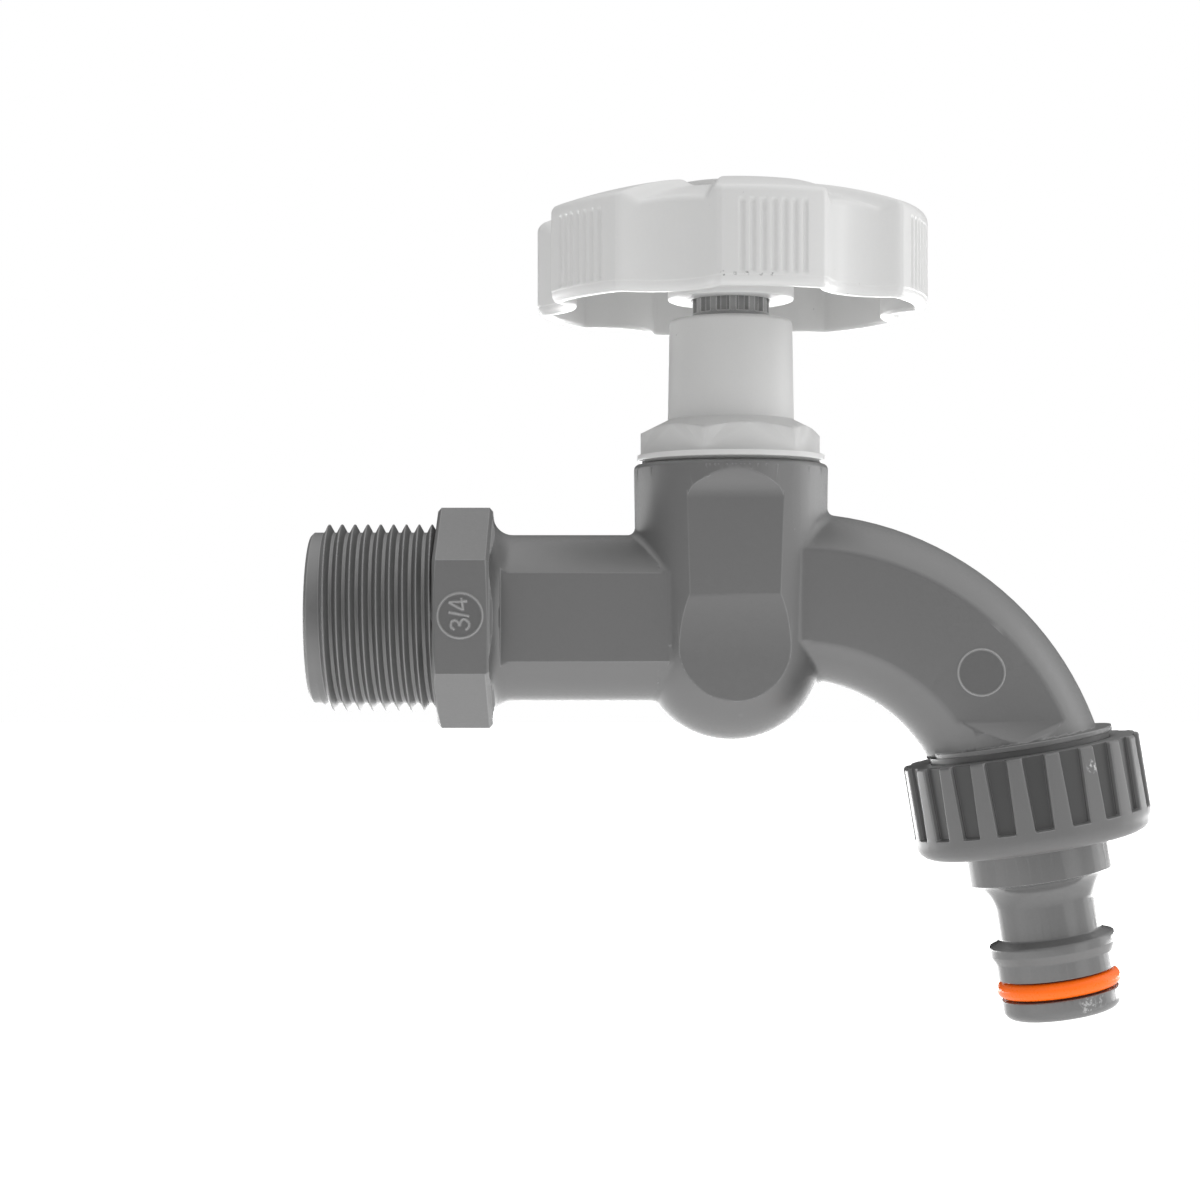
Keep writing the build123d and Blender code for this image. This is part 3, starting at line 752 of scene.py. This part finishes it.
def nutColumns():  # across one rib gap: share of its half width, added mm, share of its depth
    columns = [(0, 0.0, 1.0), (0.4, 0.0, 1.0), (0.75, 0.0, 1.0)]
    for more, depth in [(-0.1, 1.0), (-0.03, 0.8), (0.04, 0.3), (0.1, 0.12), (0.2, 0.03), (0.32, 0.0)]:
        columns.append((1, more, depth))
    return [(-share, -more, depth) for share, more, depth in columns[:0:-1]] + columns


def paintConnector(piece):  # the gaps' floors are darker, painted shade in the recesses, and the nipple is glossier
    shape = connectorShape
    floor, nipple = 1, 2  # places in the piece's list of finishes
    tilt = math.radians(outlet["tilt"])
    for face in piece.data.polygons:
        x, y, z = face.center / mm
        x, z = x - outlet["start"][0], z - outlet["start"][1]
        along = x * math.sin(tilt) - z * math.cos(tilt)
        away = math.hypot(x * math.cos(tilt) + z * math.sin(tilt), y)
        if along > shape["nutEnd"] + 0.3:
            face.material_index = nipple
        # painted shade on the gaps' floors
        elif shape["gapTop"] < along < shape["gapEnd"] and abs(away - shape["floorRadius"]) < 0.14:
            face.material_index = floor


def makeConnector():
    shape = connectorShape
    rows = connectorProfile()
    radii, along = rows[:, 0], rows[:, 1]
    halfPitch = math.pi / shape["gaps"]
    lowEase = 0.15  # how far the gap's floor runs out at its low end
    inGap = 1 - smoothStep(shape["gapEnd"] - lowEase, shape["gapEnd"] + lowEase, along)
    fall = np.clip((along - shape["gapTop"]) / (shape["gapEnd"] - shape["gapTop"]), 0, 1)
    half = shape["gapTopHalf"] + (shape["gapLowHalf"] - shape["gapTopHalf"]) * fall
    slices = []
    for gap in range(shape["gaps"]):
        middle = math.radians(shape["gapFirst"]) + gap * 2 * halfPitch
        for share, more, depth in nutColumns():
            turn = (share * half + more) / shape["nutRadius"]
            floor = shape["floorRadius"] / np.cos(turn)
            sunk = np.where(radii > floor, depth * inGap, 0)
            slices.append(outletPlace(middle + turn, radii - sunk * (radii - floor), along))
        slices.append(outletPlace(middle + halfPitch, radii, along))
    piece = closedGrid("hoseConnector", np.array(slices) * mm)
    crispFlats(piece, 30)
    names = ["connectorGrey", "recessShadeGrey", "nippleGrey"]
    finishPiece(piece, "hose_connector", "connector", names)
    paintConnector(piece)


makeConnector()
print("hose connector made")


# Seal ring on the nipple

ringShape = {"along": 34.5, "middle": 7.55, "section": 1.15}


def makeSealRing():
    shape = ringShape
    around = np.linspace(0, 2 * math.pi, 32, endpoint=False)
    reach = shape["middle"] + shape["section"] * np.cos(around)
    along = shape["along"] + shape["section"] * np.sin(around)
    turns = math.pi / 2 - np.linspace(0, 2 * math.pi, 128, endpoint=False)
    rings = np.array([outletPlace(turn, reach, along) for turn in turns])
    piece = closedGrid("nippleSealRing", rings * mm, coarseWeld)
    shadeByAngle(piece, 60)
    finishPiece(piece, "connector_oring", "connector", ["ringOrange"])


makeSealRing()
print("seal ring made")


# Handwheel: hollow moulding, drawn as upright slices round the axis

wheelShape = {
    "lobes": 6,
    "firstLobe": -81.3,
    "lobeRadius": 27.7,
    "lobeHalf": 16.3,
    "valleyRadius": 24.0,
    "wall": 1.9,
    "innerLobeHalf": 15.2,
    "cornerEase": 1.3,  # rounding where lobe meets valley
    "rimLow": 43.1,
    "crownRadius": 62.5,
    "crownTop": 60.3,
    "ridgeCrownRadius": 77.0,
    "ridgeTop": 61.1,
    "ridgeInner": 11.5,
    "ridgeInnerHalf": 20.0,
    "ridgeOuter": 32.0,
    "ridgeOuterHalf": 17.4,
    "ridgeSoft": 1.9,  # width of the slope at a ridge's side
    "shoulder": 1.3,
    "skin": 2.2,
    "hubRadius": 8.9,
    "hubLow": 44.8,
    "socketRadius": 5.46,
    "socketTop": 54.55,
    "wellLow": 56.6,
    "wellRadius": 6.6,
    "screwHole": 2.1,
    "capSeat": 59.2,
    "capHole": 8.86,
    "grooves": 7,
    "groovePitch": 1.42,
    "grooveHalf": 0.42,
    "grooveDepth": 0.3,
    "grooveLow": 44.6,
    "grooveTop": 54.6,
    "gripLevels": [54.6, 54.5, 54.3, 54.0, 53.6, 52.0, 50.0, 48.0, 46.2, 45.4, 45.1, 44.9, 44.7, 44.55],
    "turningMarks": [8.15, 7.55, 6.95, 6.35],  # radii on the hub's end
}


def outlineRadius(turn, lobeRadius, valleyRadius, lobeHalf, ease):
    # Radius of a lobed outline at an angle from the nearest lobe's middle, in degrees.
    halfPitch = 180 / wheelShape["lobes"]
    fromValley = np.radians(halfPitch - np.abs(turn))
    halfGap = math.radians(halfPitch - lobeHalf)
    halfChord, chordAt = lobeRadius * math.sin(halfGap), lobeRadius * math.cos(halfGap)
    sag = chordAt - valleyRadius
    arcRadius = (halfChord**2 + sag**2) / (2 * sag)
    centre = valleyRadius + arcRadius
    inside = np.maximum(arcRadius**2 - (centre * np.sin(fromValley)) ** 2, 0)
    arc = centre * np.cos(fromValley) - np.sqrt(inside)
    onLobe = np.abs(turn) < lobeHalf - 2
    pastArc = centre * np.sin(fromValley) > arcRadius * 0.98
    arc = np.where(onLobe | pastArc, lobeRadius + 4, arc)  # beyond the lobe, so the lobe's radius holds
    return softMin(arc, np.full_like(arc, lobeRadius), ease)


def domeHeight(top, radius, r):
    return top - radius + np.sqrt(radius**2 - r**2)


def ridgeCorner(radius, half):
    return radius * math.cos(math.radians(half)), radius * math.sin(math.radians(half))


def crownHeight(r, turn):
    shape = wheelShape
    valley = domeHeight(shape["crownTop"], shape["crownRadius"], r)
    ridge = domeHeight(shape["ridgeTop"], shape["ridgeCrownRadius"], r)
    x, y = r * np.cos(np.radians(turn)), r * np.sin(np.radians(np.abs(turn)))
    inX, inY = ridgeCorner(shape["ridgeInner"], shape["ridgeInnerHalf"])
    outX, outY = ridgeCorner(shape["ridgeOuter"], shape["ridgeOuterHalf"])
    length = math.hypot(outX - inX, outY - inY)
    insideSide = ((x - inX) * (outY - inY) - (y - inY) * (outX - inX)) / length
    insideEnd = x - inX
    half = shape["ridgeSoft"] / 2
    share = smoothStep(-half, half, insideSide) * smoothStep(-half * 1.6, half * 1.6, insideEnd)
    return valley + (ridge - valley) * share


def lobeAngles():  # degrees from a lobe's middle: fine over the grooves, coarser in the valleys
    lobe = np.arange(-12, 12.01, 0.29)
    corner = np.arange(12.3, 20.3, 0.36)
    valley = np.arange(20.6, 30.0, 0.95)
    right = np.concatenate([corner, valley])
    return np.concatenate([-right[::-1], lobe, right])


def grooveDepths(turns):  # share of a finger groove's depth at each angle
    shape = wheelShape
    along = np.radians(turns) * shape["lobeRadius"]
    half = shape["grooveHalf"]
    depths = np.zeros_like(turns)
    for k in range(shape["grooves"]):
        middle = (k - (shape["grooves"] - 1) / 2) * shape["groovePitch"]
        depths = np.maximum(depths, 1 - smoothStep(0.3 * half, 1.15 * half, np.abs(along - middle)))
    return depths


def crownProfile(turn, reach):  # (radius, z) from the cap's hole over the crown and its shoulder
    shape = wheelShape
    lean = math.asin(reach / shape["crownRadius"])
    q = shape["shoulder"]
    crownEnd = reach - q * (1 - math.sin(lean))
    radii = np.concatenate([[shape["capHole"], 9.1, 9.6], np.linspace(10.2, crownEnd, 24)])
    profile = [(shape["capHole"], shape["capSeat"])]
    profile += [(r, float(crownHeight(r, turn))) for r in radii]
    centreZ = profile[-1][1] - q * math.cos(lean)
    for bend in np.linspace(lean, math.pi / 2, 8)[1:]:
        profile.append((reach - q + q * math.sin(bend), centreZ + q * math.cos(bend)))
    return profile, centreZ


def gripProfile(reach, groove, shoulderZ):  # down the wheel's outside, with its finger grooves
    shape = wheelShape
    low, top = shape["grooveLow"], shape["grooveTop"]
    profile = []
    for z in shape["gripLevels"]:
        if z < shoulderZ:
            cut = groove * smoothStep(low, low + 0.5, z) * (1 - smoothStep(top - 0.7, top, z))
            profile.append((reach - shape["grooveDepth"] * float(cut), z))
        else:
            profile.append((reach, shoulderZ - 0.001 * (54.7 - z)))
    return profile


def rimProfile(reach, innerReach):  # the witness line and the rounded lower rim
    low = wheelShape["rimLow"]
    outside = [(0.01, 1.37), (0.07, 1.33), (0.08, 1.25), (0.12, 0.9), (0.22, 0.5), (0.42, 0.18)]
    outside += [(0.7, 0.02), (0.95, 0)]
    inside = [(0.45, 0), (0.2, 0.07), (0.04, 0.25), (0, 0.6), (0, 3.9)]
    profile = [(reach - less, low + up) for less, up in outside]
    return profile + [(innerReach + more, low + up) for more, up in inside]


def ceilingProfile(innerReach):  # the hollow's roof, from the rim's inside to the hub

    def roof(r):
        return domeHeight(wheelShape["crownTop"] - wheelShape["skin"], wheelShape["crownRadius"], r)

    profile = [(innerReach, roof(innerReach) - 0.8), (innerReach - 0.25, roof(innerReach) - 0.2)]
    profile += [(r, roof(r)) for r in (innerReach - 0.8, 18.0, 14.0, 10.5)]
    hub = wheelShape["hubRadius"]
    return profile + [(hub + 0.4, roof(hub + 0.4)), (hub, roof(hub) - 0.4)]


def hubProfile():  # the hub's side, its end with turning marks, the socket and the screw's well
    shape = wheelShape
    hub, low, socket = shape["hubRadius"], shape["hubLow"], shape["socketRadius"]
    profile = [(hub, 50.0), (hub, low + 0.35), (hub - 0.1, low + 0.1), (hub - 0.35, low)]
    for line in shape["turningMarks"]:
        profile += [(line + 0.12, low), (line, low + 0.07), (line - 0.12, low)]
    profile += [(socket + 0.3, low), (socket, low + 0.3), (socket, shape["socketTop"])]
    profile += [(shape["screwHole"], shape["socketTop"]), (shape["screwHole"], shape["wellLow"])]
    return profile + [(shape["wellRadius"], shape["wellLow"]), (shape["wellRadius"], shape["capSeat"])]


def makeWheel():
    shape = wheelShape
    turns = lobeAngles()
    lobe, valley, wall = shape["lobeRadius"], shape["valleyRadius"], shape["wall"]
    outer = outlineRadius(turns, lobe, valley, shape["lobeHalf"], shape["cornerEase"])
    inner = outlineRadius(turns, lobe - wall, valley - wall, shape["innerLobeHalf"], 0.4)
    slices = []
    for turn, reach, innerReach, groove in zip(turns, outer, inner, grooveDepths(turns)):
        crown, shoulderZ = crownProfile(turn, reach)
        outside = crown + gripProfile(reach, groove, shoulderZ) + rimProfile(reach, innerReach)
        slices.append(outside + ceilingProfile(innerReach) + hubProfile())
    slices = np.array(slices)
    wheel = []
    for k in range(shape["lobes"]):
        angle = np.radians(shape["firstLobe"] + k * 360 / shape["lobes"] + turns)[:, None]
        x = wheelAxisX + slices[:, :, 0] * np.cos(angle)
        y = slices[:, :, 0] * np.sin(angle)
        wheel.append(np.stack([x, y, slices[:, :, 1]], -1))
    piece = closedGrid("handwheelMoulding", np.concatenate(wheel) * mm)
    shadeByAngle(piece, 40)
    finishPiece(piece, "handwheel", "wheel_group", ["wheelWhite"])


makeWheel()
print("handwheel made")


# Parts kept as the frame has them

keptFinishes = {
    "spindle": "spindlePaintedLightGrey",
    "bonnet_seal": "sealBlack",
    "spindle_oring_lower": "sealBlack",
    "spindle_oring_upper": "sealBlack",
    "valve_plug": "bonnetWhite",
    "valve_washer": "sealBlack",
    "valve_washer_plate": "turnedSteel",
    "valve_washer_screw": "turnedSteel",
    "handwheel_screw": "turnedSteel",
    "handwheel_screw_washer": "turnedSteel",
    "connector_washer": "washerGrey",
}
for node, finishName in keptFinishes.items():
    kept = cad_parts[node]
    kept.data.materials.clear()
    kept.data.materials.append(finishes[finishName])
print("kept parts finished:", len(keptFinishes))


# Floor, lights and camera

studio = {
    "floorLevel": -88.0,
    "floorSize": 4000.0,
    "floorColour": (0.8, 0.8, 0.8, 1),
    "floorGlow": 0.7,  # only what the camera sees of it
    "tableGlow": 7.9,  # only what reflections see of the table's far half
    "tableGlowFrom": 0.1,  # distance behind the tap in metres, where the glow starts and is full
    "tableGlowFull": 0.5,
}
tent = {  # light from each side of the white tent: where it faces, and how bright its middle is
    "front": {"side": (0, -1, 0), "brightness": 0.42},
    "left": {"side": (-1, 0, 0), "brightness": 0.36},
    "right": {"side": (1, 0, 0), "brightness": 1.02},
    "above": {"side": (0, 0, 1), "brightness": 1.46},
}
lamps = {  # place, aim and size in mm; brightness is the panel's own
    "lowPanel": {"at": (40, 0, -84), "aim": (40, 0, 0), "size": (600, 400), "brightness": 0.46},
    "lowStrip": {"at": (40, -45, -83), "aim": (40, -45, 0), "size": (320, 60), "brightness": 0.22},
    "rightStrip": {"at": (420, 60, 40), "aim": (40, 0, 0), "size": (150, 400), "brightness": 0.95},
    "nearPanel": {"at": (330, -260, -60), "aim": (75, 0, -10), "size": (160, 260), "brightness": 0.7},
}
photoView = {"at": (22.9, -335.0, -2.7), "lens": 71.04, "lift": 0.0308}


def makeFloor():
    half, level = studio["floorSize"] / 2 * mm, studio["floorLevel"] * mm
    corners = [(-half, -half, level), (half, -half, level), (half, half, level), (-half, half, level)]
    floor = newPiece("studioFloor", corners, [(0, 1, 2, 3)])
    paper = bpy.data.materials.new("floorPaper")
    paper.use_nodes = True
    nodes, links = paper.node_tree.nodes, paper.node_tree.links
    nodes.clear()
    matt = nodes.new("ShaderNodeBsdfDiffuse")
    matt.inputs["Color"].default_value = studio["floorColour"]
    glow = nodes.new("ShaderNodeEmission")
    path = nodes.new("ShaderNodeLightPath")
    place = nodes.new("ShaderNodeSeparateXYZ")
    links.new(nodes.new("ShaderNodeTexCoord").outputs["Object"], place.inputs[0])
    behind = nodes.new("ShaderNodeMapRange")
    limits = (studio["tableGlowFrom"], studio["tableGlowFull"], 0, studio["tableGlow"])
    for socket, value in zip(behind.inputs[1:5], limits):
        socket.default_value = value
    links.new(place.outputs["Y"], behind.inputs[0])
    mirrored = nodes.new("ShaderNodeMath")
    mirrored.operation = "MULTIPLY"
    links.new(path.outputs["Is Glossy Ray"], mirrored.inputs[0])
    links.new(behind.outputs[0], mirrored.inputs[1])
    share = nodes.new("ShaderNodeMath")
    share.operation = "MULTIPLY_ADD"
    share.inputs[1].default_value = studio["floorGlow"]
    links.new(path.outputs["Is Camera Ray"], share.inputs[0])
    links.new(mirrored.outputs[0], share.inputs[2])
    links.new(share.outputs[0], glow.inputs["Strength"])
    both = nodes.new("ShaderNodeAddShader")
    links.new(matt.outputs[0], both.inputs[0])
    links.new(glow.outputs[0], both.inputs[1])
    end = nodes.new("ShaderNodeOutputMaterial")
    links.new(both.outputs[0], end.inputs["Surface"])
    floor.data.materials.append(paper)


def makeSky():
    # White to the camera. As light each side of the tent has its own brightness, fading off its middle.
    sky = bpy.data.worlds.new("studioSky")
    bpy.context.scene.world = sky
    sky.use_nodes = True
    nodes, links = sky.node_tree.nodes, sky.node_tree.links
    nodes.clear()

    def step(kind, operation, *inputs):
        node = nodes.new(kind)
        node.operation = operation
        for socket, value in zip(node.inputs, inputs):
            if isinstance(value, (int, float, tuple)):
                socket.default_value = value
            else:
                links.new(value, socket)
        return node.outputs["Value" if operation != "NORMALIZE" else "Vector"]

    place = nodes.new("ShaderNodeTexCoord").outputs["Generated"]
    way = step("ShaderNodeVectorMath", "NORMALIZE", place)
    total = None
    for wall in tent.values():
        facing = step("ShaderNodeVectorMath", "DOT_PRODUCT", way, wall["side"])
        facing = step("ShaderNodeMath", "MAXIMUM", facing, 0.0)
        fading = step("ShaderNodeMath", "POWER", facing, 2.0)
        part = step("ShaderNodeMath", "MULTIPLY", fading, wall["brightness"])
        total = part if total is None else step("ShaderNodeMath", "ADD", total, part)
    light = nodes.new("ShaderNodeBackground")
    light.inputs["Color"].default_value = (1, 1, 1, 1)
    links.new(total, light.inputs["Strength"])
    seen = nodes.new("ShaderNodeBackground")
    seen.inputs["Color"].default_value = (1, 1, 1, 1)
    path = nodes.new("ShaderNodeLightPath")
    mix = nodes.new("ShaderNodeMixShader")
    links.new(path.outputs["Is Camera Ray"], mix.inputs[0])
    links.new(light.outputs[0], mix.inputs[1])
    links.new(seen.outputs[0], mix.inputs[2])
    end = nodes.new("ShaderNodeOutputWorld")
    links.new(mix.outputs[0], end.inputs["Surface"])


def makeLamps():
    for name, setting in lamps.items():
        width, depth = (side * mm for side in setting["size"])
        lamp = bpy.data.lights.new(name, "AREA")
        lamp.shape = "RECTANGLE"
        lamp.size, lamp.size_y = width, depth
        lamp.energy = setting["brightness"] * math.pi * width * depth
        panel = bpy.data.objects.new(name, lamp)
        panel.location = Vector(setting["at"]) * mm
        way = (Vector(setting["aim"]) - Vector(setting["at"])) * mm
        panel.rotation_euler = way.to_track_quat("-Z", "Y").to_euler()
        panel.visible_camera = False
        bpy.context.scene.collection.objects.link(panel)


def makeCamera():
    camera = bpy.data.cameras.new("photoCamera")
    camera.lens, camera.sensor_width = photoView["lens"], 36
    camera.shift_y = photoView["lift"]
    camera.clip_start, camera.clip_end = 0.01, 20
    stand = bpy.data.objects.new("photoCamera", camera)
    stand.location = Vector(photoView["at"]) * mm
    stand.rotation_euler = (math.pi / 2, 0, 0)
    bpy.context.scene.collection.objects.link(stand)
    bpy.context.scene.camera = stand


makeFloor()
makeSky()
makeLamps()
makeCamera()
bpy.context.scene.view_settings.view_transform = "Standard"
print("floor, sky, lamps and camera set")
